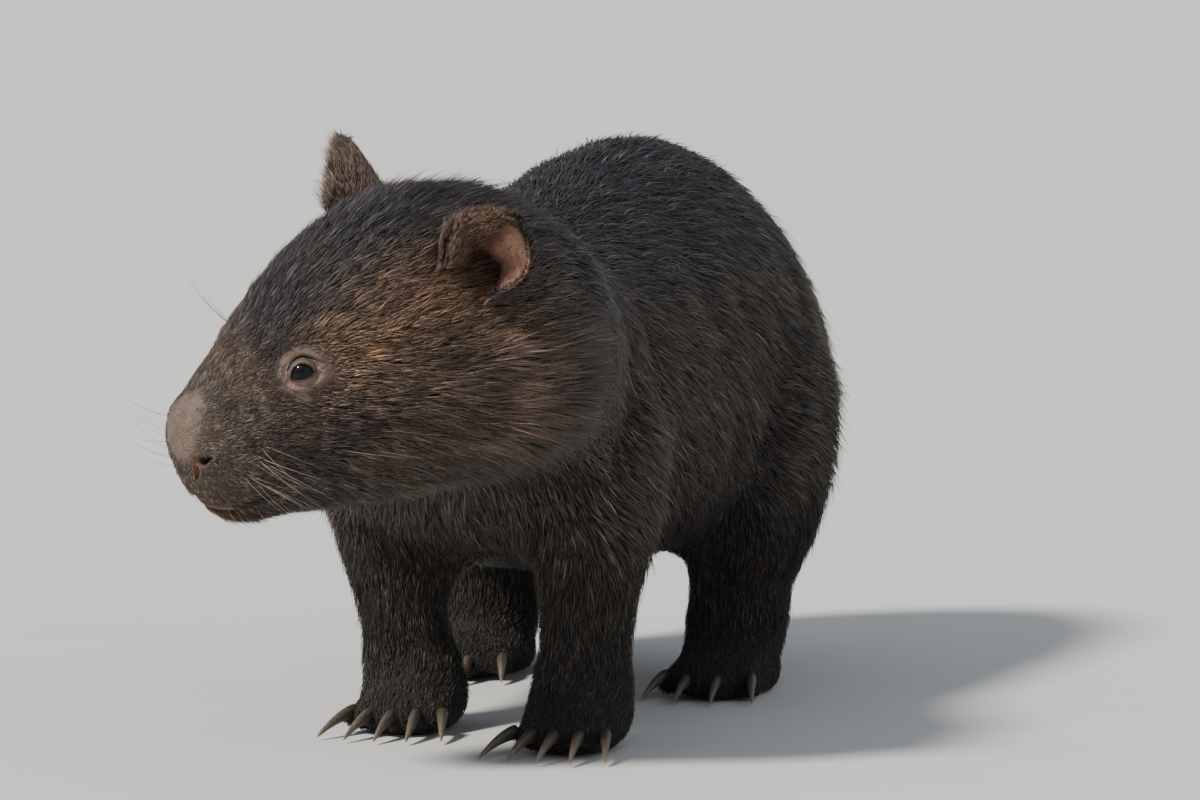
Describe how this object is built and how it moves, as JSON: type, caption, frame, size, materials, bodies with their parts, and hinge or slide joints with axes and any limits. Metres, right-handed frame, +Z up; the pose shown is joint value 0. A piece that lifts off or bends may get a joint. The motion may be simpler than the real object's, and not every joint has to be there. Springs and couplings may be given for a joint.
{
  "type": "wombat",
  "caption": "Life-size bare-nosed wombat standing on all fours with its head lowered and turned to its right, in a short coarse dark coat.",
  "frame": {"origin": "on the floor, under the middle of the bounding box", "axes": "+X forwards along the trunk towards the head, +Y to the animal's left, +Z up"},
  "size_m": [0.7576, 0.2778, 0.3438],
  "materials": {
    "coat": "coarse near-black fur with a cool sheen on the back",
    "coat_brown": "short warm brown fur",
    "ear_skin": "thin pinkish skin with sparse short hair",
    "nose_skin": "bare grained grey-brown skin",
    "whisker": "stiff tapering hair",
    "eye": "wet black gloss",
    "claw": "worn horn"
  },
  "bodies": {
    "root": {"head": "coat_brown", "neck": "coat", "torso": "coat", "tail": "coat", "ear_left": "ear_skin", "eye_left": "eye", "foreleg_left": "coat", "forefoot_left": "coat_brown", "hindleg_left": "coat", "hindfoot_left": "coat_brown", "ear_right": "ear_skin", "eye_right": "eye", "foreleg_right": "coat", "forefoot_right": "coat_brown", "hindleg_right": "coat", "hindfoot_right": "coat_brown", "foreclaw_left_1": "claw", "foreclaw_left_2": "claw", "foreclaw_left_3": "claw", "foreclaw_left_4": "claw", "foreclaw_left_5": "claw", "foreclaw_right_1": "claw", "foreclaw_right_2": "claw", "foreclaw_right_3": "claw", "foreclaw_right_4": "claw", "foreclaw_right_5": "claw", "hindclaw_left_1": "claw", "hindclaw_left_2": "claw", "hindclaw_left_3": "claw", "hindclaw_left_4": "claw", "hindclaw_right_1": "claw", "hindclaw_right_2": "claw", "hindclaw_right_3": "claw", "hindclaw_right_4": "claw"}
  },
  "joints": []
}
